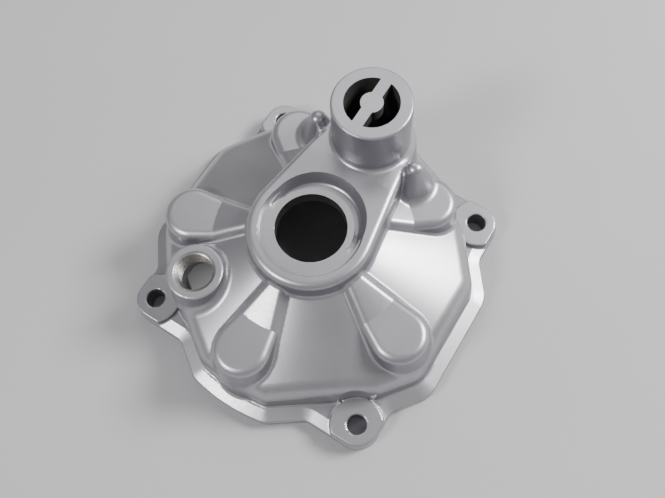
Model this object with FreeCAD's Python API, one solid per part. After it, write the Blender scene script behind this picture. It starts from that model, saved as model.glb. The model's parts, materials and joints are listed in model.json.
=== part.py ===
import FreeCAD, Part
import math
import os

# Die-cast cover with a raised hub and bore, a spigot tube on a neck, five raised pads and a
# threaded port.  Millimetres.  Z = 0 is the gasket face, the origin is on the bore axis, and the
# neck runs along +Y.  The casting is one piece.

V = FreeCAD.Vector
UP = V(0, 0, 1)

# Flange and ears
FLANGE_HALF_X = 62.8       # straight sides, across X
FLANGE_HALF_Y = 64.0       # far point of the bowed sides, along Y
SIDE_RUN = 20.5            # end of a straight side towards the neck
SIDE_CUT = 33.0            # where the outline turns into the side of an ear
FAR_SIDE_RUN = 22.5        # the same two away from the neck
FAR_SIDE_CUT = 34.5
SIDE_BLEND_R = 12.0
BOW_RUN = 16.0             # half length of the bowed side away from the neck
BOW_RISE = 1.8             # how far it bows out
BOW_CUT = 28.5
BOW_BLEND_R = 8.0
NECK_BOW_RUN = 12.0        # the same on the neck side
NECK_BOW_RISE = 3.2
NECK_BOW_CUT = 30.0
FLANGE_RIM_Z = 5.4         # height of the outer edge
FLANGE_TOP_Z = 7.0         # height where the band meets the skirt
FLANGE_BAND = 4.6          # width of the sloping band
EAR_PITCH = 90.2           # hole to hole, along X and along Y
EAR_EDGE = 8.3             # hole centre to the outer edge of an ear
EAR_HOLE_R = 3.5
EAR_PAD_Z = 9.0            # top of the raised pads
EAR_PAD_R = 9.6            # pad and tool clearance round a hole
EAR_PAD_INSET = 0.9        # pad edge inside the ear edge
EAR_BLEND_R = 5.0          # hollow corner beside an ear
HOLE_CHAMFER = 0.35

# Dome: a conical roof on a drafted skirt that follows the flange
SKIRT_INSET = 5.6          # flange edge to the foot of the skirt
SKIRT_DRAFT = 3.5          # degrees
SKIRT_CORNER_R = 9.0       # upright corners of the skirt
NECK_TURN_X = -3.45        # corner of the skirt behind an ear, from the ear hole
NECK_TURN_Y = 3.5
FAR_TURN_X = 5.9           # the same away from the neck
FAR_TURN_Y = 7.5
DOME_SLOPE = 25.0          # degrees
DOME_HUB_R = 24.0          # radius at which DOME_HUB_Z holds
DOME_HUB_Z = 35.8
SHOULDER_R = 12.0          # the roof curves down at the shoulder,
SHOULDER_REACH = 6.1       # from this far inside the farthest corner
SHOULDER_END = 72.0        # to this slope, in degrees
WALL = 4.2                 # wall of the casting
SKIRT_WALL = 5.0           # wall of the skirt

# Raised pads on the dome: angle from +X, distance of the round end from the bore axis
PADS = ((50.0, 43.6), (130.0, 43.6), (198.0, 45.7), (270.0, 45.7), (342.0, 45.7))
PAD_Z = 33.0
PAD_END_R = 9.9
PAD_HALF_ANGLE = 12.5      # degrees, taper of the sides
PAD_DRAFT = 8.5
PAD_RAMP_R = 36.3          # radius of the crease
PAD_RAMP_SLOPE = 24.0
PAD_EDGE_R = 1.9
PAD_BACK = 20.0            # start of a pad, inside the hub

# Hub, bore and seat
HUB_R = 22.3
HUB_TOP_Z = 44.5
BORE_R = 12.55
SEAT_Z = 42.7
SEAT_R = 17.5
SEAT_LIP = 0.8             # outward slope of the seat's edge
LAND_DEPTH = 5.8           # length of the bore wall
BORE_CHAMFER = 0.4
RELIEF_Z = 39.8            # floor of the crescent relief
RELIEF_SHIFT = 3.0         # the relief circle lies this far towards the neck
RELIEF_FLOOR_R = 15.2
RELIEF_TOP_R = 17.6
SEAT_RING_R = 14.9         # ring that stays round the bore inside the relief

# Neck
TUBE_Y = 40.3              # spigot axis
NECK_END_R = 15.9
NECK_DRAFT = 4.0
NECK_EDGE_R = 1.8
NECK_FALL_Y = 25.4         # crease across the neck
NECK_FALL = 5.0            # degrees, fall beyond the crease

# Spigot tube
TUBE_TOP_Z = 66.0
TUBE_R = 13.8
TUBE_BORE_R = 9.4
TUBE_EDGE_R = 0.8
CROSS_BAR_W = 3.9
CROSS_HUB_R = 3.85
CROSS_DEPTH = 5.0

# Posts beside the neck
POST_X = 19.9
POST_Y = 36.3
POST_BASE_R = 7.6
POST_TIP_R = 3.1
POST_TOP_Z = 47.5

# Threaded port
PORT_X = -28.6
PORT_Y = -32.3
PORT_TOP_Z = 34.4
PORT_R = 10.15
PORT_DRAFT = 6.0
PORT_EDGE_R = 0.6
PORT_FOOT_R = 1.6          # blend between the boss and the dome
PORT_LOW_Z = 3.0           # start of the boss, inside the flange
PORT_HOLE_R = 6.3
PORT_HOLE_LOW_Z = 17.0     # the hole opens into the cavity above this height
PORT_CHAMFER = 0.8

# Inside
BORE_BOSS_R = 18.6         # ceiling of the cavity round the bore
POCKET_BACK = 29.0         # start of the core pocket under a pad
NECK_ROOF = 4.4            # thickness over the passage in the neck
FLOOR = -1.0               # cuts start below the gasket face


def tan(deg):
    return math.tan(math.radians(deg))


def polar(angle, radius, z=0.0):
    return V(radius * math.cos(math.radians(angle)), radius * math.sin(math.radians(angle)), z)


def cylinder(radius, z0, z1, x=0.0, y=0.0):
    return Part.makeCylinder(radius, z1 - z0, V(x, y, z0), UP)


def cone(r0, r1, z0, z1, x=0.0, y=0.0):
    return Part.makeCone(r0, r1, z1 - z0, V(x, y, z0), UP)


def revolve(edges, x=0.0, y=0.0):
    """Turn a closed profile, drawn in the XZ half plane, round the Z axis."""
    turned = Part.Face(Part.Wire(edges)).revolve(V(0, 0, 0), UP, 360)
    solid = Part.Solid(turned.Shells[0])
    if solid.Volume < 0:
        solid.reverse()
    solid.translate(V(x, y, 0))
    return solid


def lines(points):
    """Straight edges through (radius, z) points."""
    vs = [V(r, 0, z) for r, z in points]
    return [Part.LineSegment(a, b).toShape() for a, b in zip(vs[:-1], vs[1:])]


def arc(p0, p1, p2):
    return Part.Arc(V(p0[0], 0, p0[1]), V(p1[0], 0, p1[1]), V(p2[0], 0, p2[1])).toShape()


def rounded(corner, before, after, radius):
    """Tangent points and middle of an arc that rounds a corner of a profile."""
    c = V(corner[0], 0, corner[1])
    a = (V(before[0], 0, before[1]) - c).normalize()
    b = (V(after[0], 0, after[1]) - c).normalize()
    half = a.getAngle(b) / 2.0
    reach = radius / math.tan(half)
    middle = c + (a + b).normalize() * (radius / math.sin(half) - radius)
    p0 = c + a * reach
    p2 = c + b * reach
    return (p0.x, p0.z), (middle.x, middle.z), (p2.x, p2.z)


def edges_where(shape, test):
    return [e for e in shape.Edges if test(e)]


def all_at(edge, z, tol=1e-3):
    box = edge.BoundBox
    return abs(box.ZMin - z) < tol and abs(box.ZMax - z) < tol


def polyhedron(low, high):
    """Solid with flat faces between two polygons that have the same number of corners."""
    count = len(low)
    faces = [Part.Face(Part.makePolygon(low + [low[0]])), Part.Face(Part.makePolygon(high + [high[0]]))]
    for i in range(count):
        j = (i + 1) % count
        faces.append(Part.Face(Part.makePolygon([low[i], low[j], high[j], high[i], low[i]])))
    solid = Part.Solid(Part.Shell(faces))
    if solid.Volume < 0:
        solid.reverse()
    return solid


def drafted_hull(y0, r0, y1, r1, z0, z1, draft):
    """Hull of two drafted rounds on the Y axis: the given radii at z1, larger at z0."""
    grow = (z1 - z0) * tan(draft)
    s = (r0 - r1) / (y1 - y0)
    c = math.sqrt(1 - s * s)
    sides = []
    for z, g in ((z0, grow), (z1, 0.0)):
        a = (r0 + g) * c, y0 + (r0 + g) * s
        b = (r1 + g) * c, y1 + (r1 + g) * s
        sides.append([V(-a[0], a[1], z), V(a[0], a[1], z), V(b[0], b[1], z), V(-b[0], b[1], z)])
    body = polyhedron(sides[0], sides[1])
    near = cone(r0 + grow, r0, z0, z1)
    near.rotate(V(0, 0, 0), UP, 90)
    near.translate(V(0, y0, 0))
    far = cone(r1 + grow, r1, z0, z1)
    far.rotate(V(0, 0, 0), UP, -90)
    far.translate(V(0, y1, 0))
    return body.fuse([near, far]).removeSplitter()


def bow(cut, run, rise, far, sign):
    """Edges of a bowed side, from the corner at +cut to the corner at -cut."""
    edge = EAR_PITCH / 2.0 + EAR_EDGE
    ys, yb, yf = sign * edge, sign * (far - rise), sign * far
    corners = [V(cut, ys, 0), V(run, yb, 0), V(-run, yb, 0), V(-cut, ys, 0)]
    middle = Part.Arc(corners[1], V(0, yf, 0), corners[2]).toShape()
    first = Part.LineSegment(corners[0], corners[1]).toShape()
    last = Part.LineSegment(corners[2], corners[3]).toShape()
    return [first, middle, last], corners


def flange_outline():
    """Prism of the full outline, one millimetre thick, with every corner blended."""
    edge = EAR_PITCH / 2.0 + EAR_EDGE
    neck_side, n = bow(NECK_BOW_CUT, NECK_BOW_RUN, NECK_BOW_RISE, FLANGE_HALF_Y, 1)
    far_side, f = bow(BOW_CUT, BOW_RUN, BOW_RISE, FLANGE_HALF_Y, -1)
    radii = [(p, EAR_BLEND_R) for p in (n[0], n[3], f[0], f[3])]
    radii += [(p, BOW_BLEND_R) for p in (n[1], n[2], f[1], f[2])]
    edges = neck_side + far_side
    for side in (1, -1):
        chain = [V(side * abs(n[0].x), edge, 0), V(side * edge, edge, 0), V(side * edge, SIDE_CUT, 0)]
        chain += [V(side * FLANGE_HALF_X, SIDE_RUN, 0), V(side * FLANGE_HALF_X, -FAR_SIDE_RUN, 0)]
        chain += [V(side * edge, -FAR_SIDE_CUT, 0), V(side * edge, -edge, 0), V(side * abs(f[0].x), -edge, 0)]
        edges += [Part.LineSegment(a, b).toShape() for a, b in zip(chain[:-1], chain[1:])]
        radii += [(chain[1], EAR_EDGE), (chain[6], EAR_EDGE), (chain[2], EAR_BLEND_R), (chain[5], EAR_BLEND_R)]
        radii += [(chain[3], SIDE_BLEND_R), (chain[4], SIDE_BLEND_R)]
    prism = Part.Face(Part.Wire(Part.__sortEdges__(edges))).extrude(V(0, 0, 1))
    for radius in sorted(set(r for p, r in radii)):
        spots = [p for p, r in radii if r == radius]
        upright = edges_where(prism, lambda e: any(stands_at(e, p) for p in spots))
        prism = prism.makeFillet(radius, upright)
    return prism


def stands_at(edge, point):
    box = edge.BoundBox
    flat = max(abs(box.XMin - point.x), abs(box.XMax - point.x), abs(box.YMin - point.y), abs(box.YMax - point.y))
    return flat < 1e-3 and box.ZLength > 0.5


def is_sharp(shape, edge):
    """True where the two faces at an edge don't run on smoothly."""
    faces = shape.ancestorsOfType(edge, Part.Face)
    if len(faces) < 2:
        return False
    point = edge.valueAt((edge.FirstParameter + edge.LastParameter) / 2.0)
    normals = []
    for face in faces[:2]:
        u, v = face.Surface.parameter(point)
        normals.append(face.normalAt(u, v))
    return normals[0].getAngle(normals[1]) > 0.05


def outline_wire(prism, z, inset=0.0):
    face = [f for f in prism.Faces if abs(f.BoundBox.ZMin) < 1e-6 and f.BoundBox.ZLength < 1e-6][0]
    wire = face.OuterWire
    if inset:
        wire = wire.makeOffset2D(-inset)
    wire = wire.copy()
    wire.translate(V(0, 0, z))
    return wire


def prism_between(wire, z0, z1):
    moved = wire.copy()
    moved.translate(V(0, 0, z0 - wire.BoundBox.ZMin))
    return Part.Face(moved).extrude(V(0, 0, z1 - z0))


def ear_centres():
    half = EAR_PITCH / 2.0
    return [V(sx * half, sy * half, 0) for sx in (-1, 1) for sy in (-1, 1)]


def flange():
    prism = flange_outline()
    rim = prism_between(outline_wire(prism, 0), 0, FLANGE_RIM_Z)
    low = outline_wire(prism, FLANGE_RIM_Z)
    high = outline_wire(prism, FLANGE_TOP_Z, FLANGE_BAND)
    band = Part.makeLoft([low, high], True, True)
    body = rim.fuse(band)
    inner = prism_between(outline_wire(prism, 0, EAR_PAD_INSET), 0, EAR_PAD_Z)
    for c in ear_centres():
        body = body.fuse(inner.common(cylinder(EAR_PAD_R, 0, EAR_PAD_Z, c.x, c.y)))
    return body.removeSplitter()


def hull(points):
    """Corners of the smallest convex outline round some plan points, counter-clockwise."""
    points = sorted(points, key=lambda p: (p.x, p.y))
    chains = []
    for run in (points, points[::-1]):
        chain = []
        for p in run:
            while len(chain) > 1 and (chain[-1] - chain[-2]).cross(p - chain[-1]).z <= 1e-6:
                chain.pop()
            chain.append(p)
        chains += chain[:-1]
    return chains


def moved_in(corners, inset):
    """A convex outline with every side moved in; a side that gets no room drops out."""
    shape = corners
    for p, q in zip(corners, corners[1:] + corners[:1]):
        along = (q - p).normalize()
        inward = V(-along.y, along.x, 0)
        start = p + inward * inset
        kept = []
        for c, d in zip(shape, shape[1:] + shape[:1]):
            hc, hd = (c - start).dot(inward), (d - start).dot(inward)
            if hc >= 0:
                kept.append(c)
            if hc * hd < 0:
                kept.append(c + (d - c) * (hc / (hc - hd)))
        shape = [c for i, c in enumerate(kept) if c.distanceToPoint(kept[i - 1]) > 1e-6]
    return shape


def skirt_corners():
    """Corners of the flange outline without its ears."""
    hx, hy = FLANGE_HALF_X, FLANGE_HALF_Y
    ear = EAR_PITCH / 2.0
    right = [(0, -hy), (BOW_RUN, BOW_RISE - hy), (ear + FAR_TURN_X, -ear + FAR_TURN_Y), (hx, -FAR_SIDE_RUN)]
    right += [(hx, SIDE_RUN), (ear + NECK_TURN_X, ear + NECK_TURN_Y), (NECK_BOW_RUN, hy - NECK_BOW_RISE), (0, hy)]
    return hull([V(side * x, y, 0) for x, y in right for side in (1, -1)])


def skirt_body(inset, z0, z1):
    """Drafted body inside the skirt's outline, exact at FLANGE_TOP_Z, with round upright corners."""
    low, high, rounds = [], [], []
    r0 = SKIRT_CORNER_R + (FLANGE_TOP_Z - z0) * tan(SKIRT_DRAFT)
    r1 = SKIRT_CORNER_R + (FLANGE_TOP_Z - z1) * tan(SKIRT_DRAFT)
    centres = moved_in(skirt_corners(), inset + SKIRT_CORNER_R)
    for i, centre in enumerate(centres):
        normals = []
        for p, q in ((centres[i - 1], centre), (centre, centres[(i + 1) % len(centres)])):
            along = (q - p).normalize()
            normals.append(V(along.y, -along.x, 0))
        low += [centre + n * r0 + UP * z0 for n in normals]
        high += [centre + n * r1 + UP * z1 for n in normals]
        corner = cone(r0, r1, z0, z1)
        outward = normals[0] + normals[1]
        # the seam of the cone goes to the inner side
        corner.rotate(V(0, 0, 0), UP, math.degrees(math.atan2(outward.y, outward.x)) + 180)
        corner.translate(centre)
        rounds.append(corner)
    return polyhedron(low, high).fuse(rounds).removeSplitter()


def roofed(body, drop, inset, corner):
    """A body cut off by the conical roof, which curves down at the shoulder."""
    slope = tan(DOME_SLOPE)
    hub_z = DOME_HUB_Z - drop
    far = max(math.hypot(p.x, p.y) for p in moved_in(skirt_corners(), inset)) + WALL
    turn_r = far - WALL - SHOULDER_REACH

    def on_arc(angle):
        r = turn_r + corner * (math.sin(math.radians(angle)) - math.sin(math.radians(DOME_SLOPE)))
        z = hub_z - slope * (turn_r - DOME_HUB_R)
        return r, z + corner * (math.cos(math.radians(angle)) - math.cos(math.radians(DOME_SLOPE)))

    start, end = on_arc(DOME_SLOPE), on_arc(SHOULDER_END)
    foot = (end[0] + (end[1] - FLOOR + 1.0) / tan(SHOULDER_END), FLOOR - 1.0)
    crown = (BORE_BOSS_R, hub_z + slope * (DOME_HUB_R - BORE_BOSS_R))
    cap = lines([(0, FLOOR - 1.0), foot, end]) + [arc(end, on_arc((DOME_SLOPE + SHOULDER_END) / 2.0), start)]
    cap += lines([start, crown, (0, crown[1]), (0, FLOOR - 1.0)])
    return body.common(revolve(cap))


def dome():
    return roofed(skirt_body(SKIRT_INSET, 1.0, DOME_HUB_Z + WALL), 0.0, SKIRT_INSET, SHOULDER_R)


def pad_corners(reach, back, end_r, z):
    """Corners of the straight part of a pad along +X, up to where the round end starts."""
    half = math.radians(PAD_HALF_ANGLE)
    tip_x = reach - end_r * math.sin(half)
    tip_y = end_r * math.cos(half)
    back_y = tip_y - (tip_x - back) * math.tan(half)
    return [V(back, -back_y, z), V(tip_x, -tip_y, z), V(tip_x, tip_y, z), V(back, back_y, z)]


def flat_pad(reach, back, inset, low):
    """Tapered body with a round end and a flat top, drafted on every side."""
    top = PAD_Z - inset
    top_r = PAD_END_R - inset
    low_r = top_r + (top - low) * tan(PAD_DRAFT)
    body = polyhedron(pad_corners(reach, back, low_r, low), pad_corners(reach, back, top_r, top))
    end = cone(low_r, top_r, low, top)
    end.rotate(V(0, 0, 0), UP, 180)
    end.translate(V(reach, 0, 0))
    return body.fuse(end).removeSplitter()


def pad_ramp(reach, low):
    """The part of a pad that climbs to the hub, cut off by a cone round the bore axis."""
    slope = tan(PAD_RAMP_SLOPE)
    high = PAD_Z + slope * (PAD_RAMP_R - PAD_BACK) + 1.0
    low_r = PAD_END_R + (PAD_Z - low) * tan(PAD_DRAFT)
    high_r = PAD_END_R + (PAD_Z - high) * tan(PAD_DRAFT)
    ramp = polyhedron(pad_corners(reach, PAD_BACK, low_r, low), pad_corners(reach, PAD_BACK, high_r, high))
    far = reach + 40.0
    below = PAD_Z - slope * (far - PAD_RAMP_R)
    crest = PAD_Z + slope * (PAD_RAMP_R - 2.0)
    off = revolve(lines([(far, below), (far, crest + 9), (2.0, crest + 9), (2.0, crest), (far, below)]))
    off.rotate(V(0, 0, 0), UP, 180)
    return ramp.cut(off)


def pad(angle, reach):
    """Raised pad with a flat outer part and a conical ramp, both with rounded edges."""
    low = 2.0
    flat = flat_pad(reach, PAD_BACK, 0.0, low)
    rim = edges_where(flat, lambda e: all_at(e, PAD_Z, 0.01) and e.BoundBox.XMax > PAD_BACK + 1)
    flat = flat.makeFillet(PAD_EDGE_R, rim)
    ramp = pad_ramp(reach, low)
    rim = edges_where(ramp, lambda e: not isinstance(e.Curve, (Part.Line, Part.Circle)) and e.BoundBox.XLength > 5)
    ramp = ramp.makeFillet(PAD_EDGE_R, rim)
    body = flat.fuse(ramp)
    body.rotate(V(0, 0, 0), UP, angle)
    return body


def pocket(angle, reach):
    """Core pocket that keeps the wall even under a pad."""
    body = flat_pad(reach, POCKET_BACK, WALL, FLOOR + 8)
    body.rotate(V(0, 0, 0), UP, angle)
    return body


def neck():
    """Hub and neck in one drafted body, with a fall towards the spigot."""
    low = 4.0
    over = HUB_TOP_Z + (NECK_FALL_Y + 2 * HUB_R) * tan(NECK_FALL)
    more = (over - HUB_TOP_Z) * tan(NECK_DRAFT)
    level = drafted_hull(0, HUB_R, TUBE_Y, NECK_END_R, low, HUB_TOP_Z, NECK_DRAFT)
    level = level.makeFillet(NECK_EDGE_R, edges_where(level, lambda e: all_at(e, HUB_TOP_Z, 0.01)))
    falling = drafted_hull(0, HUB_R - more, TUBE_Y, NECK_END_R - more, low, over, NECK_DRAFT)
    reach = 2 * FLANGE_HALF_Y
    above = Part.makeBox(2 * reach, 2 * reach, reach, V(-reach, -reach, 0))
    above.rotate(V(0, 0, 0), V(1, 0, 0), -NECK_FALL)
    above.translate(V(0, NECK_FALL_Y, HUB_TOP_Z))
    falling = falling.cut(above)
    mouth = HUB_TOP_Z - (TUBE_Y + 2 * NECK_END_R - NECK_FALL_Y) * tan(NECK_FALL)
    rim = edges_where(falling, lambda e: e.BoundBox.ZMin > mouth and e.BoundBox.ZLength < over - mouth)
    falling = falling.makeFillet(NECK_EDGE_R, rim)
    return level.common(falling)


def tube():
    """Outside of the spigot, with a rounded top edge."""
    body = cylinder(TUBE_R, PAD_Z, TUBE_TOP_Z, 0, TUBE_Y)
    return body.makeFillet(TUBE_EDGE_R, edges_where(body, lambda e: all_at(e, TUBE_TOP_Z)))


def post(side):
    """Tapering post with a round tip."""
    tip_z = POST_TOP_Z - POST_TIP_R
    low = PAD_Z - 8.0
    slope = (POST_BASE_R - POST_TIP_R) / (tip_z - PAD_Z)
    base_r = POST_BASE_R + slope * (PAD_Z - low)
    half = POST_TIP_R * math.sqrt(0.5)
    profile = lines([(0, low), (base_r, low), (POST_TIP_R, tip_z)])
    profile += [arc((POST_TIP_R, tip_z), (half, tip_z + half), (0, POST_TOP_Z))]
    profile += lines([(0, POST_TOP_Z), (0, low)])
    return revolve(profile, side * POST_X, POST_Y)


def port_boss():
    low = PORT_LOW_Z
    body = cone(PORT_R + (PORT_TOP_Z - low) * tan(PORT_DRAFT), PORT_R, low, PORT_TOP_Z, PORT_X, PORT_Y)
    return body.makeFillet(PORT_EDGE_R, edges_where(body, lambda e: all_at(e, PORT_TOP_Z)))


def dome_with_port():
    """The dome and the port boss with a round blend in the hollow corner between them."""
    joined = dome().fuse(port_boss()).removeSplitter()
    reach = PORT_R + (PORT_TOP_Z - PORT_LOW_Z) * tan(PORT_DRAFT)

    def at_foot(edge):
        middle = edge.BoundBox.Center
        away = math.hypot(middle.x - PORT_X, middle.y - PORT_Y)
        between = FLANGE_TOP_Z < edge.BoundBox.ZMax < PORT_TOP_Z - PORT_EDGE_R - 0.01
        return away < reach and between and is_sharp(joined, edge)

    return joined.makeFillet(PORT_FOOT_R, edges_where(joined, at_foot))


def outside():
    body = dome_with_port()
    for added in [pad(angle, reach) for angle, reach in PADS] + [neck(), flange(), post(-1), post(1)]:
        body = body.fuse(added)
    # room for the screw heads and the tool above each ear
    for c in ear_centres():
        body = body.cut(cylinder(EAR_PAD_R, EAR_PAD_Z, HUB_TOP_Z, c.x, c.y))
    return body.fuse(tube())


def cavity():
    """Hollow under the dome, with a pocket under each raised pad and a passage under the neck."""
    drop = WALL / math.cos(math.radians(DOME_SLOPE))
    inset = SKIRT_INSET + SKIRT_WALL
    hollow = roofed(skirt_body(inset, FLOOR, DOME_HUB_Z + WALL), drop, inset, SHOULDER_R - WALL)
    ceiling = SEAT_Z - LAND_DEPTH
    hollow = hollow.fuse(cylinder(BORE_BOSS_R, DOME_HUB_Z - drop - WALL, ceiling))
    pockets = [pocket(angle, reach) for angle, reach in PADS]
    return hollow.fuse(pockets + [neck_passage()])


def neck_passage():
    top = HUB_TOP_Z - NECK_ROOF - tan(NECK_FALL) * (TUBE_Y + NECK_END_R - NECK_FALL_Y)
    end_r = NECK_END_R - WALL
    body = drafted_hull(BORE_BOSS_R + 6.0, end_r + 1.5, TUBE_Y, end_r, 10.0, top, NECK_DRAFT * 0.5)
    return body.cut(cylinder(BORE_BOSS_R + WALL * 0.6, 0, top + 10))


def spigot_bore():
    """Bore of the tube with a cross bar and a small hub left across its mouth."""
    low = 30.0
    bore = cylinder(TUBE_BORE_R, low, TUBE_TOP_Z + 1, 0, TUBE_Y)
    z0 = TUBE_TOP_Z - CROSS_DEPTH
    bar = Part.makeBox(CROSS_BAR_W, 2 * TUBE_BORE_R + 2, CROSS_DEPTH + 2, V(-CROSS_BAR_W / 2, TUBE_Y - TUBE_BORE_R - 1, z0))
    return bore.cut([bar, cylinder(CROSS_HUB_R, z0, TUBE_TOP_Z + 2, 0, TUBE_Y)])


def seat():
    """Round seat, the crescent relief beside it, and the bore."""
    top = HUB_TOP_Z + 4
    lip = SEAT_R + SEAT_LIP * (top - SEAT_Z) / (HUB_TOP_Z - SEAT_Z)
    face = cone(SEAT_R, lip, SEAT_Z, top)
    wide = (RELIEF_TOP_R - RELIEF_FLOOR_R) / (HUB_TOP_Z - RELIEF_Z)
    relief = cone(RELIEF_FLOOR_R, RELIEF_TOP_R + 4 * wide, RELIEF_Z, top, 0, RELIEF_SHIFT)
    relief = relief.cut(cylinder(SEAT_RING_R, RELIEF_Z - 1, SEAT_Z))
    bore = cylinder(BORE_R, SEAT_Z - LAND_DEPTH - 1, top)
    bevel = cone(BORE_R, BORE_R + 1 + BORE_CHAMFER, SEAT_Z - BORE_CHAMFER, SEAT_Z + 1)
    return [face, relief, bore, bevel]


def port_hole():
    bevel = cone(PORT_HOLE_R, PORT_HOLE_R + PORT_CHAMFER + 1, PORT_TOP_Z - PORT_CHAMFER, PORT_TOP_Z + 1, PORT_X, PORT_Y)
    return [cylinder(PORT_HOLE_R, PORT_HOLE_LOW_Z, PORT_TOP_Z + 1, PORT_X, PORT_Y), bevel]


def ear_holes():
    cuts = []
    for c in ear_centres():
        cuts.append(cylinder(EAR_HOLE_R, FLOOR, EAR_PAD_Z + 1, c.x, c.y))
        cuts.append(cone(EAR_HOLE_R, EAR_HOLE_R + HOLE_CHAMFER + 1, EAR_PAD_Z - HOLE_CHAMFER, EAR_PAD_Z + 1, c.x, c.y))
    return cuts


def cover():
    body = outside().cut([cavity(), spigot_bore()])
    body = body.cut(seat() + port_hole() + ear_holes())
    return body.removeSplitter()


os.makedirs("parts", exist_ok=True)
part = cover()
solid = part.Solids[0]
print("solids", len(part.Solids), "valid", solid.isValid(), "volume", round(solid.Volume), "faces", len(solid.Faces))
print("box", solid.BoundBox)
solid.exportStep("parts/cover_casting.step")
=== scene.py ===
"""Die-cast valve cover on a pale floor, seen from the photograph's viewpoint.

The casting is one closed surface drawn from a distance field: the same cones, planes and rounds as
the CAD solid, joined with the soft blends of a casting.  Lengths inside the field are
millimetres, and angles are degrees.
"""

import json
import math

import bpy
import numpy as np
from mathutils import Matrix, Vector


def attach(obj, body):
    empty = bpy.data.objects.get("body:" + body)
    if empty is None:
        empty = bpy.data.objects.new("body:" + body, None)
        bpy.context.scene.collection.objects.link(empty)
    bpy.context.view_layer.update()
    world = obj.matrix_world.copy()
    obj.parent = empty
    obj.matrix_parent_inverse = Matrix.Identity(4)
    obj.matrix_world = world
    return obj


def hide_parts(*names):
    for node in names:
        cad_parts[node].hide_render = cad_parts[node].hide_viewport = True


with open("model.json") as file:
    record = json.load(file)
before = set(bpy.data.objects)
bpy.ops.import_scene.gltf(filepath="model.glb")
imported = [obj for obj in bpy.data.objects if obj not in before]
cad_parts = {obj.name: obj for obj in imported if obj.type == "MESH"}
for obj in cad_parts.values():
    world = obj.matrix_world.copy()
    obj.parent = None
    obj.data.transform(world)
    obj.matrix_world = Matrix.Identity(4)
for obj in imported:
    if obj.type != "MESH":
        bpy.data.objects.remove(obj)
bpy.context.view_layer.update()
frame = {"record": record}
mounts = {m["name"]: m for m in frame["record"]["mounts"]}

MM = 0.001


def tan(deg):
    return math.tan(math.radians(deg))


def sin(deg):
    return math.sin(math.radians(deg))


def cos(deg):
    return math.cos(math.radians(deg))


def place(name):
    """Position of a mount in millimetres."""
    return [c / MM for c in mounts[name]["pos_m"]]


# Interfaces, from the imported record
EAR_HALF = mounts["ear_holes"]["dims"]["spacing_x_mm"] / 2
EAR_HOLE_R = mounts["ear_holes"]["dims"]["hole_r_mm"]
EAR_PAD_Z = place("ear_holes")[2]
BORE_R = mounts["hub_bore"]["dims"]["r_mm"]
SEAT_Z = place("hub_seat")[2]
PORT_X, PORT_Y, _ = place("port")
PORT_HOLE_R = mounts["port"]["dims"]["r_mm"]
TUBE_R = mounts["spigot"]["dims"]["r_mm"]
_, TUBE_Y, TUBE_TOP_Z = place("spigot_face")

# Flange outline
FLANGE_HALF_X = 62.8
FLANGE_HALF_Y = 64.0
EAR_EDGE = 8.3
SIDE_RUN, SIDE_CUT = 20.5, 33.0
FAR_SIDE_RUN, FAR_SIDE_CUT = 22.5, 34.5
BOW_RUN, BOW_RISE, BOW_CUT = 16.0, 1.8, 28.5
NECK_BOW_RUN, NECK_BOW_RISE, NECK_BOW_CUT = 12.0, 3.2, 30.0
EAR_BLEND_R, SIDE_BLEND_R, BOW_BLEND_R = 5.0, 12.0, 8.0
RIM_Z = 5.4
BAND_TOP_Z = 7.0
BAND_W = 4.6
RIM_EDGE_R = 0.5
EAR_PAD_R = 9.6
EAR_PAD_INSET = 0.9
EAR_EDGE_R = 0.5
EAR_FOOT_R = 0.7
EAR_CLEAR_EDGE_R = 1.0               # edge of the room for a tool round an ear's hole
HOLE_CHAMFER = 0.35

# Dome
SKIRT_INSET = 5.6
SKIRT_DRAFT = 3.5
SKIRT_EAR_R, SKIRT_SIDE_R, SKIRT_BOW_R = 10.0, 9.0, 7.0
SKIRT_NECK_BOW_R, SKIRT_NOSE_R, SKIRT_NECK_NOSE_R = 8.0, 45.0, 18.5
SKIRT_WALL = 5.0
ROOF_SLOPE = 25.0
ROOF_R = 24.0
ROOF_Z = 35.8
SHOULDER_R = 9.5
SKIRT_FOOT_R = 1.0

# Raised pads: angle from +X, distance of the round end from the bore
PADS = ((50.0, 43.6), (130.0, 43.6), (198.0, 45.7), (270.0, 45.7), (342.0, 45.7))
PAD_Z = 33.0
PAD_END_R = 9.9
PAD_HALF_ANGLE = 12.5
PAD_DRAFT = 8.5
PAD_RAMP_R = 36.3
PAD_RAMP_SLOPE = 24.0
PAD_EDGE_R = 2.7
PAD_FOOT_R = 1.1
PAD_BACK = 6.0                       # start of a pad, from the bore axis

# Hub and neck
HUB_R = 22.3
HUB_TOP_Z = 44.5
NECK_END_R = 15.9
NECK_DRAFT = 4.0
NECK_EDGE_R = 2.6
NECK_FALL_Y = 25.4
NECK_FALL = 5.0
NECK_FOOT_R = 1.2
SEAT_R = 17.5
SEAT_LIP = 0.8
RELIEF_Z = 39.8
RELIEF_SHIFT = 3.0
RELIEF_FLOOR_R = 15.2
RELIEF_TOP_R = 17.6
SEAT_RING_R = 14.9
RELIEF_LEAST_W = 1.3                 # where the crescent gets narrower, its floor runs out
RELIEF_EDGE_R = 0.8

# Spigot tube
TUBE_EDGE_R = 0.8
TUBE_FOOT_R = 1.8
TUBE_BORE_R = 9.4
TUBE_BORE_LOW_Z = 29.4
BAR_W = 3.9
BAR_HUB_R = 3.85
BAR_DEPTH = 5.0

# Posts beside the neck
POST_X, POST_Y = 19.9, 36.3
POST_TOP_Z = 47.5
POST_TIP_R = 3.2
POST_SLOPE = 20.0
POST_FOOT_R = 2.0

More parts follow.
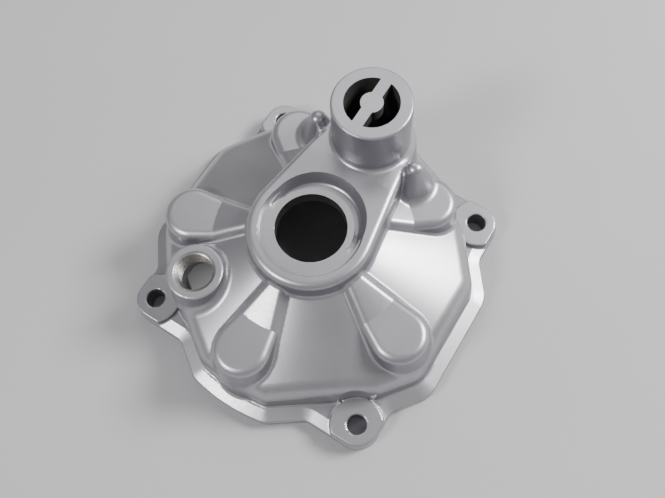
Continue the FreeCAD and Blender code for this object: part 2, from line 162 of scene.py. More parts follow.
# Threaded port
PORT_TOP_Z = 34.4
PORT_R = 10.15
PORT_DRAFT = 6.0
PORT_EDGE_R = 0.7
PORT_FOOT_R = 3.0
PORT_CHAMFER = 1.3
PORT_HOLE_LOW_Z = 14.0
THREAD_PITCH = 1.5
THREAD_DEPTH = 0.6
THREAD_TOP_Z = 33.7
THREAD_LOW_Z = 26.0
THREAD_FLAT = 0.12                   # flat crest and root, as a share of half a pitch
THREAD_LEAD = 0.4                    # the thread runs out this far below its top
SLEEVE_WALL = 0.5
SLEEVE_AROUND, SLEEVE_ALONG = 96, 120

# Inside
WALL = 4.2
INNER_CORNER_R = 5.0
BORE_BOSS_R = 18.6
BORE_LAND = 5.8
NECK_ROOF = 4.4
POCKET_EDGE_R = 1.0
POCKET_BLEND_R = 3.0
PASSAGE_BACK = 6.0                   # start of the neck's passage behind the bore's boss
PASSAGE_FLARE = 1.5                  # the passage is this much wider at its start
PASSAGE_GAP = WALL * 0.6             # metal that stays between the boss and the passage
PASSAGE_EDGE_R = 1.5
PASSAGE_BLEND_R = 2.0

# Cutters
OVER = 1.0                           # cutters stand this far above the face that they cut
BORE_PAST = 3.0                      # the bore's cutter goes this far past its land
BEVEL = 0.707                        # scales the distance to a 45 degree chamfer

# Grid
CELL = 0.6    # size of a grid cell
BLOCK = 8                            # cells to a side of a block
NEAR_BLOCK = 0.95                    # blocks nearer than this share of their side are sampled
GRID_MARGIN = 2.4                    # cells round the part
GRID_LOW, GRID_SHIFT = 1.37, 0.137   # cells below the part; keeps grid planes off its faces
SEARCHES = 3                         # steps of the search for a crossing
END_SHARE = 0.02                     # share of its edge that a step keeps off the ends
PULL = 0.03                          # draws a vertex to the middle of its crossings
CELL_SLACK = 0.1                     # how far a vertex may leave its cell
LOOK_IN = 0.3                        # normals are read this far in from a face's corners

# Faces of one finish
ON_FACE = 0.02                       # faces this close to a surface lie on it
GASKET_DOWN = -0.95                  # least downward part of the gasket face's normal
INSIDE_REACH = 0.3
TUBE_RIM = 0.3                       # top of the tube's wall that keeps the outer finish
SKIN, MACHINED, RAW_SHADED = 0, 1, 2        # finishes, in the order of the material slots


# ---- outline of the flange ----

def rounded_polygon(corners):
    """Lines and arcs round a closed polygon, counter-clockwise; each corner is (x, y, radius)."""
    pts = [np.array(c[:2], float) for c in corners]
    lines, arcs, starts, ends = [], [], [], []
    for i, corner in enumerate(corners):
        p, before, after = pts[i], pts[i - 1], pts[(i + 1) % len(pts)]
        r = corner[2]
        a = (before - p) / np.linalg.norm(before - p)
        b = (after - p) / np.linalg.norm(after - p)
        half = math.acos(np.clip(a @ b, -1, 1)) / 2
        starts.append(p + a * r / math.tan(half))
        ends.append(p + b * r / math.tan(half))
        if r > 0:
            out = -(a + b) / np.linalg.norm(a + b)
            convex = a[0] * b[1] - a[1] * b[0] < 0
            arcs.append((p - out * r / math.sin(half), r, out, math.sin(half), convex))
    for i, p in enumerate(ends):
        lines.append((p, starts[(i + 1) % len(ends)]))
    return lines, arcs


def bowed(run, rise, far, sign):
    """Points of a shallow arc, from +run to -run."""
    radius = (run ** 2 + rise ** 2) / (2 * rise)
    xs = np.linspace(run, -run, 15)[1:-1]
    return [(x, sign * (far - radius + math.sqrt(radius ** 2 - x ** 2)), 0) for x in xs]


def half_outline(sign, cut, run, rise, side_run, side_cut):
    """Corners of one half of the outline, from the +X side round to the -X side."""
    edge = EAR_HALF + EAR_EDGE
    right = [(FLANGE_HALF_X, sign * side_run, SIDE_BLEND_R), (edge, sign * side_cut, EAR_BLEND_R),
             (edge, sign * edge, EAR_EDGE), (cut, sign * edge, EAR_BLEND_R),
             (run, sign * (FLANGE_HALF_Y - rise), BOW_BLEND_R)]
    left = [(-x, y, r) for x, y, r in reversed(right)]
    return right + bowed(run, rise, FLANGE_HALF_Y, sign) + left


def outline_points():
    upper = half_outline(1, NECK_BOW_CUT, NECK_BOW_RUN, NECK_BOW_RISE, SIDE_RUN, SIDE_CUT)
    lower = half_outline(-1, BOW_CUT, BOW_RUN, BOW_RISE, FAR_SIDE_RUN, FAR_SIDE_CUT)
    return rounded_polygon(upper + lower[::-1])


class OutlineField:
    """Signed distance to lines and arcs, kept on a fine plane grid and read between its points."""

    def __init__(self, lines, arcs, step=0.2, margin=4.0):
        ends = np.array([p for p, _ in lines])
        self.low = ends.min(0) - margin
        self.step = step
        count = np.ceil((ends.max(0) + margin - self.low) / step).astype(int) + 1
        gx = self.low[0] + step * np.arange(count[0])
        gy = self.low[1] + step * np.arange(count[1])
        x, y = np.meshgrid(gx, gy, indexing="ij")
        best = np.full(x.shape, 1e9)
        for p, q in lines:
            ex, ey = q - p
            t = np.clip(((x - p[0]) * ex + (y - p[1]) * ey) / max(ex * ex + ey * ey, 1e-12), 0, 1)
            away = np.hypot(x - p[0] - t * ex, y - p[1] - t * ey)
            away = np.where((x - p[0]) * ey > (y - p[1]) * ex, away, -away)
            best = np.where(np.abs(away) < np.abs(best), away, best)
        for centre, r, out, reach, convex in arcs:
            dx, dy = x - centre[0], y - centre[1]
            far = np.hypot(dx, dy)
            away = far - r if convex else r - far
            facing = dx * out[0] + dy * out[1] >= far * reach
            best = np.where(facing & (np.abs(away) <= np.abs(best) + 1e-9), away, best)
        self.grid = best

    def __call__(self, x, y):
        u = np.clip((x - self.low[0]) / self.step, 0, self.grid.shape[0] - 1.001)
        v = np.clip((y - self.low[1]) / self.step, 0, self.grid.shape[1] - 1.001)
        i, j = u.astype(int), v.astype(int)
        u, v = u - i, v - j
        g = self.grid
        low = g[i, j] * (1 - u) + g[i + 1, j] * u
        high = g[i, j + 1] * (1 - u) + g[i + 1, j + 1] * u
        return low * (1 - v) + high * v


def skirt_points(inset):
    """Outline without its ears, moved in; the skirt stands on it.

    Each side of the right half is (start, end, radius of the corner at its end).
    """
    edge = EAR_HALF + EAR_EDGE
    hx, hy = FLANGE_HALF_X, FLANGE_HALF_Y
    right = [((0, -hy), (BOW_RUN, BOW_RISE - hy), SKIRT_BOW_R),
             ((BOW_RUN, BOW_RISE - hy), (BOW_CUT, -edge), SKIRT_EAR_R),
             ((edge, -FAR_SIDE_CUT), (hx, -FAR_SIDE_RUN), SKIRT_SIDE_R),
             ((hx, -FAR_SIDE_RUN), (hx, SIDE_RUN), SKIRT_SIDE_R),
             ((hx, SIDE_RUN), (edge, SIDE_CUT), SKIRT_EAR_R),
             ((NECK_BOW_CUT, edge), (NECK_BOW_RUN, hy - NECK_BOW_RISE), SKIRT_NECK_BOW_R),
             ((NECK_BOW_RUN, hy - NECK_BOW_RISE), (0, hy), SKIRT_NECK_NOSE_R)]
    after = [SKIRT_NOSE_R] + [r for _, _, r in right[:-1]]
    left = [((-q[0], q[1]), (-p[0], p[1]), r) for (p, q, _), r in zip(right[::-1], after[::-1])]
    sides = []
    for p, q, r in right + left:
        along = (np.array(q) - p) / np.linalg.norm(np.array(q) - p)
        sides.append((np.array(p) - inset * np.array([along[1], -along[0]]), along, r))
    corners = []
    for i, (p, u, r) in enumerate(sides):
        q, w, _ = sides[(i + 1) % len(sides)]
        gap = q - p
        corner = p + u * (gap[0] * w[1] - gap[1] * w[0]) / (u[0] * w[1] - u[1] * w[0])
        corners.append((corner[0], corner[1], r))
    return rounded_polygon(corners)


outline = OutlineField(*outline_points())
skirt_outline = OutlineField(*skirt_points(SKIRT_INSET), margin=12.0)
hollow_outline = OutlineField(*skirt_points(SKIRT_INSET + SKIRT_WALL), margin=14.0)


# ---- the casting as a distance field, negative inside ----

def round_edge(a, b, r, lean=0.0):
    """Both fields, with their outer corner rounded; lean is the cosine between their normals."""
    u, v = a + r, b + r
    corner = np.sqrt(np.maximum(u * u + v * v - 2 * lean * u * v, 0) / (1 - lean * lean)) - r
    return np.where((u > lean * v) & (v > lean * u), corner, np.maximum(a, b))


def round_hollow(a, b, r, lean=0.0):
    """Either field, with the hollow corner between them filled."""
    return -round_edge(-a, -b, r, lean)


def drafted(distance, z, top, draft):
    """A plan distance turned into a wall that leans out below top."""
    return (distance - (top - z) * tan(draft)) * cos(draft)


def roof_and_skirt(plan, rho, z, drop, corner):
    skirt = drafted(plan, z, BAND_TOP_Z, SKIRT_DRAFT)
    roof = (z - ROOF_Z + drop + (rho - ROOF_R) * tan(ROOF_SLOPE)) * cos(ROOF_SLOPE)
    crown = z - ROOF_Z + drop - (ROOF_R - BORE_BOSS_R) * tan(ROOF_SLOPE)
    return np.maximum(round_edge(skirt, roof, corner, sin(ROOF_SLOPE + SKIRT_DRAFT)), crown)


def pad_side(x, y, z, angle, reach, inset=0.0):
    """Wall of a pad: straight sides that taper to a round end."""
    u = x * cos(angle) + y * sin(angle) - reach
    v = np.abs(y * cos(angle) - x * sin(angle))
    c, s = cos(PAD_HALF_ANGLE), sin(PAD_HALF_ANGLE)
    plan = np.where(u * c + v * s > 0, np.hypot(u, v), v * c - u * s) - PAD_END_R + inset
    wall = drafted(plan, z, PAD_Z - inset, PAD_DRAFT)
    return np.maximum(wall, -(u + reach - PAD_BACK))


def hull_plan(x, y, r0, r1, length):
    """Plan distance to the hull of two rounds on the Y axis."""
    b = (r0 - r1) / length
    a = math.sqrt(1 - b * b)
    x = np.abs(x)
    k = a * y - b * x
    ends = np.where(k < 0, np.hypot(x, y) - r0, np.hypot(x, y - length) - r1)
    return np.where((k < 0) | (k > a * length), ends, a * x + b * y - r0)


def neck_field(x, y, z):
    side = drafted(hull_plan(x, y, HUB_R, NECK_END_R, TUBE_Y), z, HUB_TOP_Z, NECK_DRAFT)
    falling = (z - HUB_TOP_Z + (y - NECK_FALL_Y) * tan(NECK_FALL)) * cos(NECK_FALL)
    return round_edge(side, np.maximum(z - HUB_TOP_Z, falling), NECK_EDGE_R, sin(NECK_DRAFT))


def post_field(x, y, z):
    """Cone with a ball tip, on both sides of the neck."""
    away = np.hypot(np.abs(x) - POST_X, y - POST_Y)
    centre = POST_TOP_Z - POST_TIP_R
    wall = away * cos(POST_SLOPE) + (z - centre) * sin(POST_SLOPE) - POST_TIP_R
    ball = np.hypot(away, z - centre) - POST_TIP_R
    return np.where((z - centre) * cos(POST_SLOPE) > away * sin(POST_SLOPE), ball, wall)


def flange_field(x, y, z):
    out = outline(x, y)
    lean = math.atan2(BAND_TOP_Z - RIM_Z, BAND_W)
    band = (z - RIM_Z + out * math.tan(lean)) * math.cos(lean)
    return round_edge(out, np.maximum(band, z - BAND_TOP_Z), RIM_EDGE_R), out


def outside_field(x, y, z):
    rho = np.hypot(x, y)
    ear = np.hypot(np.abs(x) - EAR_HALF, np.abs(y) - EAR_HALF)
    body = roof_and_skirt(skirt_outline(x, y), rho, z, 0.0, SHOULDER_R)
    ramp = (z - PAD_Z - (PAD_RAMP_R - rho) * tan(PAD_RAMP_SLOPE)) * cos(PAD_RAMP_SLOPE)
    pad_top = np.minimum(z - PAD_Z, ramp)
    for angle, reach in PADS:
        pad = round_edge(pad_side(x, y, z, angle, reach), pad_top, PAD_EDGE_R)
        body = round_hollow(body, pad, PAD_FOOT_R)
    away = np.hypot(x - PORT_X, y - PORT_Y)
    port = round_edge(drafted(away - PORT_R, z, PORT_TOP_Z, PORT_DRAFT), z - PORT_TOP_Z, PORT_EDGE_R)
    body = round_hollow(body, port, PORT_FOOT_R)
    body = round_hollow(body, post_field(x, y, z), POST_FOOT_R)
    body = round_hollow(body, neck_field(x, y, z), NECK_FOOT_R)
    body = round_edge(body, EAR_PAD_R - ear, EAR_CLEAR_EDGE_R)
    flange, out = flange_field(x, y, z)
    body = round_hollow(body, flange, SKIRT_FOOT_R)
    ear_side = np.maximum(ear - EAR_PAD_R, out + EAR_PAD_INSET)
    body = round_hollow(body, round_edge(ear_side, z - EAR_PAD_Z, EAR_EDGE_R), EAR_FOOT_R)
    tube = round_edge(np.hypot(x, y - TUBE_Y) - TUBE_R, z - TUBE_TOP_Z, TUBE_EDGE_R)
    tube = np.maximum(tube, PAD_Z - z)
    return round_hollow(body, tube, TUBE_FOOT_R)


def hollow_field(x, y, z):
    """The space under the dome, the pockets under the pads and the passage to the tube."""
    rho = np.hypot(x, y)
    hollow = roof_and_skirt(hollow_outline(x, y), rho, z, WALL / cos(ROOF_SLOPE), INNER_CORNER_R)
    for angle, reach in PADS:
        pocket = round_edge(pad_side(x, y, z, angle, reach, WALL), z - PAD_Z + WALL, POCKET_EDGE_R)
        hollow = round_hollow(hollow, pocket, POCKET_BLEND_R)
    end_r = NECK_END_R - WALL
    top = HUB_TOP_Z - NECK_ROOF - tan(NECK_FALL) * (TUBE_Y + NECK_END_R - NECK_FALL_Y)
    start = BORE_BOSS_R + PASSAGE_BACK
    plan = hull_plan(x, y - start, end_r + PASSAGE_FLARE, end_r, TUBE_Y - start)
    passage = round_edge(drafted(plan, z, top, NECK_DRAFT / 2), z - top, PASSAGE_EDGE_R)
    passage = np.maximum(passage, BORE_BOSS_R + PASSAGE_GAP - rho)
    hollow = round_hollow(hollow, passage, PASSAGE_BLEND_R)
    return np.minimum(hollow, np.maximum(rho - BORE_BOSS_R, z - SEAT_Z + BORE_LAND))


def tube_cut(x, y, z):
    """The tube's bore, without the cross bar in its mouth."""
    away = np.hypot(x, y - TUBE_Y)
    bar = np.minimum(np.abs(x) - BAR_W / 2, away - BAR_HUB_R)
    bar = np.maximum(bar, TUBE_TOP_Z - BAR_DEPTH - z)
    return np.maximum(np.maximum(away - TUBE_BORE_R, TUBE_BORE_LOW_Z - z), -bar)


def hub_cut(x, y, z):
    """The hub's bore, the seat round it and the crescent relief towards the neck."""
    rho = np.hypot(x, y)
    seat = rho - SEAT_R - (z - SEAT_Z) * SEAT_LIP / (HUB_TOP_Z - SEAT_Z)
    seat = np.maximum(seat, SEAT_Z - z)
    wide = (RELIEF_TOP_R - RELIEF_FLOOR_R) / (HUB_TOP_Z - RELIEF_Z)
    relief = np.hypot(x, y - RELIEF_SHIFT) - RELIEF_FLOOR_R - (z - RELIEF_Z) * wide
    narrow = (relief + SEAT_RING_R - rho + RELIEF_LEAST_W) / math.hypot(1, wide)
    relief = round_edge(relief / math.hypot(1, wide), RELIEF_Z - z, RELIEF_EDGE_R)
    relief = np.maximum.reduce([relief, SEAT_RING_R - rho, narrow])
    bore = np.maximum(rho - BORE_R, SEAT_Z - BORE_LAND - BORE_PAST - z)
    return np.maximum(np.minimum.reduce([seat, relief, bore]), z - HUB_TOP_Z - OVER)


def port_cut(x, y, z):
    away = np.hypot(x - PORT_X, y - PORT_Y) - PORT_HOLE_R
    port = np.minimum(away - THREAD_DEPTH, (away - PORT_CHAMFER + PORT_TOP_Z - z) * BEVEL)
    return np.maximum(port, np.maximum(PORT_HOLE_LOW_Z - z, z - PORT_TOP_Z - OVER))


def ear_cut(x, y, z):
    away = np.hypot(np.abs(x) - EAR_HALF, np.abs(y) - EAR_HALF) - EAR_HOLE_R
    ears = np.minimum(away, (away - HOLE_CHAMFER + EAR_PAD_Z - z) * BEVEL)
    return np.maximum(ears, z - EAR_PAD_Z - OVER)


def cuts_field(x, y, z):
    """Everything that is cut: tube bore, seat, relief, hub bore, port and ear holes."""
    return np.minimum.reduce([cut(x, y, z) for cut in (tube_cut, hub_cut, port_cut, ear_cut)])


def casting(p):
    x, y, z = p[:, 0], p[:, 1], p[:, 2]
    body = np.maximum(outside_field(x, y, z), -z)
    body = np.maximum(body, -hollow_field(x, y, z))
    return np.maximum(body, -cuts_field(x, y, z))


def in_parts(field, points, size=400000):
    return np.concatenate([field(points[i:i + size]) for i in range(0, len(points), size)])


def gradient(field, points, reach=0.02):
    """Unit normals of a field, from four readings round each point."""
    total = np.zeros_like(points)
    for corner in ((1, 1, 1), (1, -1, -1), (-1, 1, -1), (-1, -1, 1)):
        step = np.array(corner, float)
        total += in_parts(field, points + reach * step)[:, None] * step
    return total / np.maximum(np.linalg.norm(total, axis=1), 1e-12)[:, None]


# ---- surface from the field ----

def sample_field(field, low, high):
    """Field values on a regular grid; far from the surface only their sign counts."""
    blocks = np.ceil((high - low) / (CELL * BLOCK)).astype(int)
    grid = np.empty(blocks * BLOCK, np.float64)
    index = np.stack(np.meshgrid(*[np.arange(n) for n in blocks], indexing="ij"), -1).reshape(-1, 3)
    span = CELL * BLOCK
    middle = in_parts(field, low + (index + 0.5) * span - CELL / 2)
    near = np.abs(middle) < span * NEAR_BLOCK
    shape = (blocks[0], BLOCK, blocks[1], BLOCK, blocks[2], BLOCK)
    view = grid.reshape(shape)
    view[...] = middle.reshape(blocks)[:, None, :, None, :, None]
    one = np.arange(BLOCK)
    offsets = np.stack(np.meshgrid(one, one, one, indexing="ij"), -1).reshape(-1, 3)
    active = index[near]
    points = low + (active[:, None] * BLOCK + offsets[None]).reshape(-1, 3) * CELL
    values = in_parts(field, points).reshape(-1, BLOCK, BLOCK, BLOCK)
    view.transpose(0, 2, 4, 1, 3, 5)[active[:, 0], active[:, 1], active[:, 2]] = values
    return grid


def crossings(grid, low, field):
    """Grid edges that pass through the surface: (axis, cell index, point, start is inside)."""
    found = []
    for axis in range(3):
        first = [slice(None)] * 3
        second = [slice(None)] * 3
        first[axis], second[axis] = slice(0, -1), slice(1, None)
        a, b = grid[tuple(first)], grid[tuple(second)]
        index = np.argwhere((a < 0) != (b < 0))
        fa, fb = a[tuple(index.T)], b[tuple(index.T)]
        t0, t1 = np.zeros(len(index)), np.ones(len(index))
        base = low + index * CELL
        unit = np.eye(3)[axis] * CELL
        for _ in range(SEARCHES):
            step = END_SHARE * (t1 - t0)
            t = np.clip(t0 + (t1 - t0) * fa / (fa - fb), t0 + step, t1 - step)
            f = in_parts(field, base + t[:, None] * unit)
            same = (f < 0) == (fa < 0)
            t0, fa = np.where(same, t, t0), np.where(same, f, fa)
            t1, fb = np.where(same, t1, t), np.where(same, fb, f)
        t = t0 + (t1 - t0) * fa / (fa - fb)
        found.append((axis, index, base + t[:, None] * unit, a[tuple(index.T)] < 0))
    return found


def surface(field, low, high):
    """Vertices, quads and corner normals of the surface; sharp edges of the field stay sharp."""
    grid = sample_field(field, low, high)
    shape = np.array(grid.shape)
    found = crossings(grid, low, field)
    cells, points = [], []
    for axis, index, point, _ in found:
        one, two = [a for a in range(3) if a != axis]
        for i, j in ((0, 0), (1, 0), (1, 1), (0, 1)):
            cell = index.copy()
            cell[:, one] -= i
            cell[:, two] -= j
            cells.append(np.ravel_multi_index(np.maximum(cell, 0).T, shape))
            points.append(point)
    hits = np.concatenate([point for _, _, point, _ in found])
    normals = gradient(field, hits)
    ends = np.cumsum([0] + [len(point) for _, _, point, _ in found])
    spread = np.concatenate([np.tile(normals[ends[k]:ends[k + 1]], (4, 1)) for k in range(3)])
    cells, points = np.concatenate(cells), np.concatenate(points)
    used, slot = np.unique(cells, return_inverse=True)
    count = np.bincount(slot).astype(float)

    def total(values):
        return np.bincount(slot, values, len(used))

    mean = np.stack([total(points[:, k]) / count for k in range(3)], 1)
    offset = np.einsum("ij,ij->i", spread, points - mean[slot])
    matrix = np.empty((len(used), 3, 3))
    for i in range(3):
        for j in range(3):
            matrix[:, i, j] = total(spread[:, i] * spread[:, j])
    right = np.stack([total(spread[:, k] * offset) for k in range(3)], 1)
    matrix += PULL * count[:, None, None] * np.eye(3)
    shift = np.linalg.solve(matrix, right[:, :, None])[:, :, 0]
    corner = low + np.stack(np.unravel_index(used, shape), 1) * CELL
    slack = CELL_SLACK * CELL
    vertices = np.clip(mean + shift, corner - slack, corner + CELL + slack)
    quads = []
    start = 0
    for axis, index, point, inside in found:
        n = len(index)
        quad = slot[start:start + 4 * n].reshape(4, n).T
        start += 4 * n
        flip = inside if axis == 1 else ~inside
        quad[flip] = quad[flip][:, ::-1]
        quads.append(quad)
    quads = np.concatenate(quads)
    middle = vertices[quads].mean(1)
    looks = (vertices[quads] * (1 - LOOK_IN) + middle[:, None] * LOOK_IN).reshape(-1, 3)
    return vertices, quads, gradient(field, looks)


def add_mesh(name, vertices, faces, normals, materials, which=None):
    """Mesh object from millimetre points, riding on the casting's body."""
    used, packed = np.unique(faces, return_inverse=True)
    packed = packed.reshape(faces.shape)
    mesh = bpy.data.meshes.new(name)
    mesh.from_pydata((vertices[used] * MM).tolist(), [], packed.tolist())
    for material in materials:
        mesh.materials.append(material)
    if which is not None:
        mesh.polygons.foreach_set("material_index", which.astype(np.int32))
    mesh.polygons.foreach_set("use_smooth", np.ones(len(faces), bool))
    if normals is not None:
        mesh.normals_split_custom_set(normals.tolist())
    mesh.update()
    piece = bpy.data.objects.new(name, mesh)
    bpy.context.scene.collection.objects.link(piece)
    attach(piece, "root")
    return piece


# ---- materials ----

class Nodes:
    """Short hand for building a material's node tree."""

    def __init__(self, name):
        self.material = bpy.data.materials.new(name)
        self.material.use_nodes = True
        self.tree = self.material.node_tree
        self.shader = self.tree.nodes["Principled BSDF"]

    def add(self, kind, **values):
        node = self.tree.nodes.new(kind)
        for key, value in values.items():
            if hasattr(node, key):
                setattr(node, key, value)
            else:
                node.inputs[key.replace("_", " ")].default_value = value
        return node

    def link(self, source, target):
        self.tree.links.new(source, target)


def mix_colours(n, factor, first, second):
    mix = n.add("ShaderNodeMix", data_type="RGBA")
    n.link(factor, mix.inputs["Factor"])
    mix.inputs["A"].default_value = first
    mix.inputs["B"].default_value = second
    return mix.outputs["Result"]


def value_range(n, source, low, high, from_low=0.3, from_high=0.7):
    """A value spread from one range to another; noise mostly lies between 0.3 and 0.7."""
    node = n.add("ShaderNodeMapRange")
    n.link(source, node.inputs["Value"])
    node.inputs["From Min"].default_value = from_low
    node.inputs["From Max"].default_value = from_high
    node.inputs["To Min"].default_value = low
    node.inputs["To Max"].default_value = high
    return node.outputs["Result"]


def noise(n, scale, detail):
    place_node = n.tree.nodes.get("where") or n.add("ShaderNodeTexCoord", name="where")
    node = n.add("ShaderNodeTexNoise", Scale=scale, Detail=detail)
    n.link(place_node.outputs["Object"], node.inputs["Vector"])
    return node.outputs["Fac"]


def facing_up(n):
    """Upward part of the surface normal: 1 on flats, 0 on walls."""
    here = n.add("ShaderNodeNewGeometry")
    split = n.add("ShaderNodeSeparateXYZ")
    n.link(here.outputs["Normal"], split.inputs["Vector"])
    return split.outputs["Z"]


def multiply(n, colour, factor, tint):
    """A colour multiplied by a tint where the factor is 1."""
    mix = n.add("ShaderNodeMix", data_type="RGBA", blend_type="MULTIPLY")
    n.link(factor, mix.inputs["Factor"])
    n.link(colour, mix.inputs["A"])
    mix.inputs["B"].default_value = tint
    return mix.outputs["Result"]


def metal(name, clouds, grain, colours, gloss, metallic, bump, painted_wall_shade=None):
    """Metal with cloudy colour and a fine grain in gloss and height.

    clouds and grain are (scale, detail) of a noise, gloss is the range of the roughness, and bump
    is (strength, distance in metres). The wall tint is painted shade: it darkens faces that don't look up.
    """
    n = Nodes(name)
    tone = mix_colours(n, value_range(n, noise(n, *clouds), 0, 1), *colours)
    # painted shade: walls are darkened as if less light fell on them than on the flats
    if painted_wall_shade:
        painted_shade_amount = value_range(n, facing_up(n), 1, 0, from_low=0.15, from_high=0.75)
        tone = multiply(n, tone, painted_shade_amount, painted_wall_shade)
    height = noise(n, *grain)
    n.link(tone, n.shader.inputs["Base Color"])
    n.link(value_range(n, height, *gloss), n.shader.inputs["Roughness"])
    n.shader.inputs["Metallic"].default_value = metallic
    strength, distance = bump
    relief = n.add("ShaderNodeBump", Strength=strength, Distance=distance)
    n.link(height, relief.inputs["Height"])
    n.link(relief.outputs["Normal"], n.shader.inputs["Normal"])
    return n.material


def cast_skin():
    """Silver satin skin of a blasted casting; its walls carry painted shade."""
    # the wall tint below is painted shade, not a colour of the skin
    return metal("cast_skin", clouds=(45.0, 3.0), grain=(2600.0, 2.0),
                 colours=((0.55, 0.545, 0.575, 1), (0.62, 0.615, 0.645, 1)),
                 gloss=(0.31, 0.40), metallic=0.78, bump=(0.25, 0.00006),
                 painted_wall_shade=(0.50, 0.50, 0.52, 1))


def machined():
    """Bare turned aluminium for the bore and the gasket face."""
    return metal("machined_aluminium", clouds=(60.0, 2.0), grain=(900.0, 4.0),
                 colours=((0.55, 0.53, 0.50, 1), (0.66, 0.64, 0.61, 1)),
                 gloss=(0.26, 0.38), metallic=1.0, bump=(0.12, 0.00004))


def raw_inside_painted_shade():
    """Dull as-cast inside of the cover; its dark colour is painted shade."""
    return metal("raw_inside_painted_shade", clouds=(70.0, 4.0), grain=(1500.0, 2.0),
                 colours=((0.10, 0.095, 0.09, 1), (0.16, 0.155, 0.15, 1)),
                 gloss=(0.52, 0.68), metallic=0.6, bump=(0.4, 0.0001))


def floor_paint():
    n = Nodes("pale_floor")
    clouds = value_range(n, noise(n, scale=6.0, detail=2.0), 0, 1)
    tone = mix_colours(n, clouds, (0.60, 0.60, 0.61, 1), (0.63, 0.63, 0.64, 1))
    n.link(tone, n.shader.inputs["Base Color"])
    n.shader.inputs["Roughness"].default_value = 0.8
    return n.material


# ---- pieces ----

def build_casting(materials):
    """The whole casting, split by height and side so that no piece is too heavy."""
    margin = GRID_MARGIN * CELL
    edge = np.array([FLANGE_HALF_X, FLANGE_HALF_Y, 0]) + margin
    low = -edge - [0, 0, GRID_LOW * CELL] + GRID_SHIFT * CELL
    high = edge + [0, 0, TUBE_TOP_Z + margin]
    vertices, quads, normals = surface(casting, low, high)
    middle = vertices[quads].mean(1)
    normals = normals.reshape(-1, 4, 3)
    flat = normals.mean(1)
    x, y, z = middle.T
    gasket = (z < ON_FACE) & (flat[:, 2] < GASKET_DOWN)
    bore = (np.hypot(x, y) < BORE_R + ON_FACE) & (z < SEAT_Z) & (z > SEAT_Z - BORE_LAND - BORE_PAST - OVER)
    inner = hollow_field(x, y, z) < INSIDE_REACH
    inner_tube = (np.hypot(x, y - TUBE_Y) < TUBE_BORE_R + ON_FACE) & (z < TUBE_TOP_Z - TUBE_RIM)
    # faces inside the cover and the tube take the dark finish, which is painted shade
    which = np.where(gasket | bore, MACHINED, np.where(inner | inner_tube, RAW_SHADED, SKIN))
    sides = [("cover_underside", inner), ("cover_neck_side", ~inner & (y > 0)),
             ("cover_far_side", ~inner & (y <= 0))]
    pieces = []
    for name, chosen in sides:
        looks = normals[chosen].reshape(-1, 3)
        pieces.append(add_mesh(name, vertices, quads[chosen], looks, materials, which[chosen]))
    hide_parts("cover_casting")
    return pieces


def build_thread(materials):
    """Internal thread of the port: a closed sleeve whose inner wall is a helix."""
    turn = np.linspace(0, 2 * math.pi, SLEEVE_AROUND, endpoint=False)
    height = np.linspace(THREAD_LOW_Z, THREAD_TOP_Z, SLEEVE_ALONG)
    t, z = np.meshgrid(turn, height)
    phase = np.abs((z / THREAD_PITCH - t / (2 * math.pi)) % 1.0 * 2 - 1)
    wave = np.clip((phase - THREAD_FLAT) / (1 - 2 * THREAD_FLAT), 0, 1)
    lead = np.clip((THREAD_TOP_Z - z) / THREAD_LEAD, 0, 1)

    def ring(radius, angle, level):
        return np.stack([PORT_X + radius * np.cos(angle), PORT_Y + radius * np.sin(angle), level], -1)

    outer_r = PORT_HOLE_R + THREAD_DEPTH + SLEEVE_WALL
    rings = [ring(PORT_HOLE_R + THREAD_DEPTH * (1 - wave * lead), t, z)]
    for level in (THREAD_TOP_Z, THREAD_LOW_Z):
        rings.append(ring(outer_r, turn, np.full(SLEEVE_AROUND, level))[None])
    rows = np.concatenate(rings)
    j, i = np.meshgrid(np.arange(len(rows)), np.arange(SLEEVE_AROUND), indexing="ij")
    this, following = j * SLEEVE_AROUND, (j + 1) % len(rows) * SLEEVE_AROUND
    beside = (i + 1) % SLEEVE_AROUND
    faces = np.stack([this + i, following + i, following + beside, this + beside], -1).reshape(-1, 4)
    return add_mesh("port_thread", rows.reshape(-1, 3), faces, None, materials)


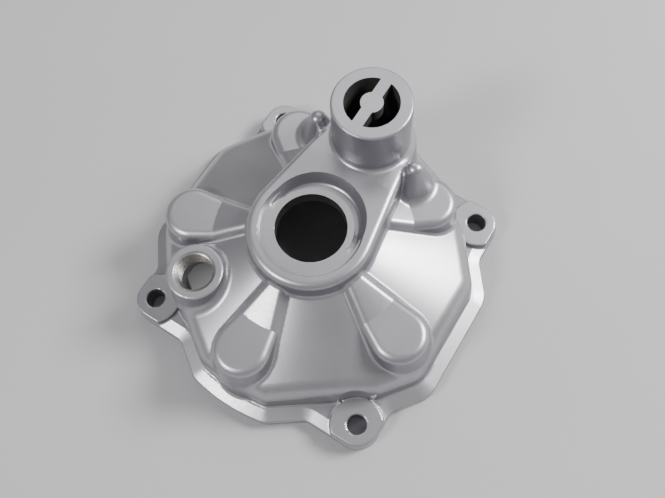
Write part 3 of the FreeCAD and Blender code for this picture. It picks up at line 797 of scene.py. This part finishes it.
def area_light(name, azimuth, off_vertical, distance, size, power):
    """Soft light that faces the cover, from a compass direction and an angle off the vertical."""
    data = bpy.data.lights.new(name, "AREA")
    data.shape = "RECTANGLE"
    data.size, data.size_y = size
    data.energy = power
    lamp = bpy.data.objects.new(name, data)
    toward = Vector((sin(off_vertical) * cos(azimuth), sin(off_vertical) * sin(azimuth),
                     cos(off_vertical)))
    lamp.location = toward * distance
    lamp.rotation_euler = toward.to_track_quat("Z", "Y").to_euler()
    bpy.context.scene.collection.objects.link(lamp)


def build_camera():
    """The photograph's viewpoint, solved from the ear holes and the round edges."""
    focal_px, width_px, film_mm = 688.275, 665.0, 36.0
    where = (0.061046, -0.065188, 0.260339)
    right = Vector((0.84809656, 0.52785081, -0.04588831))
    up = Vector((-0.48288304, 0.80567364, 0.34309467))
    back = Vector((0.2180738, -0.26881872, 0.93817925))
    data = bpy.data.cameras.new("photo_camera")
    data.sensor_width = film_mm
    data.lens = data.sensor_width * focal_px / width_px
    data.clip_start = 0.01
    camera = bpy.data.objects.new("photo_camera", data)
    turn = Matrix((right, up, back)).transposed().to_4x4()
    camera.matrix_world = Matrix.Translation(where) @ turn
    bpy.context.scene.collection.objects.link(camera)
    bpy.context.scene.camera = camera


def build_floor():
    mesh = bpy.data.meshes.new("floor")
    half = 3.0
    corners = [(-half, -half, 0), (half, -half, 0), (half, half, 0), (-half, half, 0)]
    mesh.from_pydata(corners, [], [(0, 1, 2, 3)])
    mesh.materials.append(floor_paint())
    floor = bpy.data.objects.new("floor", mesh)
    bpy.context.scene.collection.objects.link(floor)


def build_world():
    world = bpy.data.worlds.new("studio")
    bpy.context.scene.world = world
    world.use_nodes = True
    backdrop = world.node_tree.nodes["Background"]
    backdrop.inputs["Color"].default_value = (0.92, 0.93, 0.96, 1)
    backdrop.inputs["Strength"].default_value = 0.18


finishes = [cast_skin(), machined(), raw_inside_painted_shade()]
build_casting(finishes)
build_thread([finishes[MACHINED]])
build_floor()
build_world()
area_light("window", azimuth=46, off_vertical=48, distance=0.95, size=(0.32, 0.30), power=9.5)
area_light("fill", azimuth=246, off_vertical=43, distance=0.95, size=(0.20, 0.20), power=3.8)
area_light("sky", azimuth=110, off_vertical=40, distance=1.2, size=(1.0, 1.0), power=3.2)
build_camera()
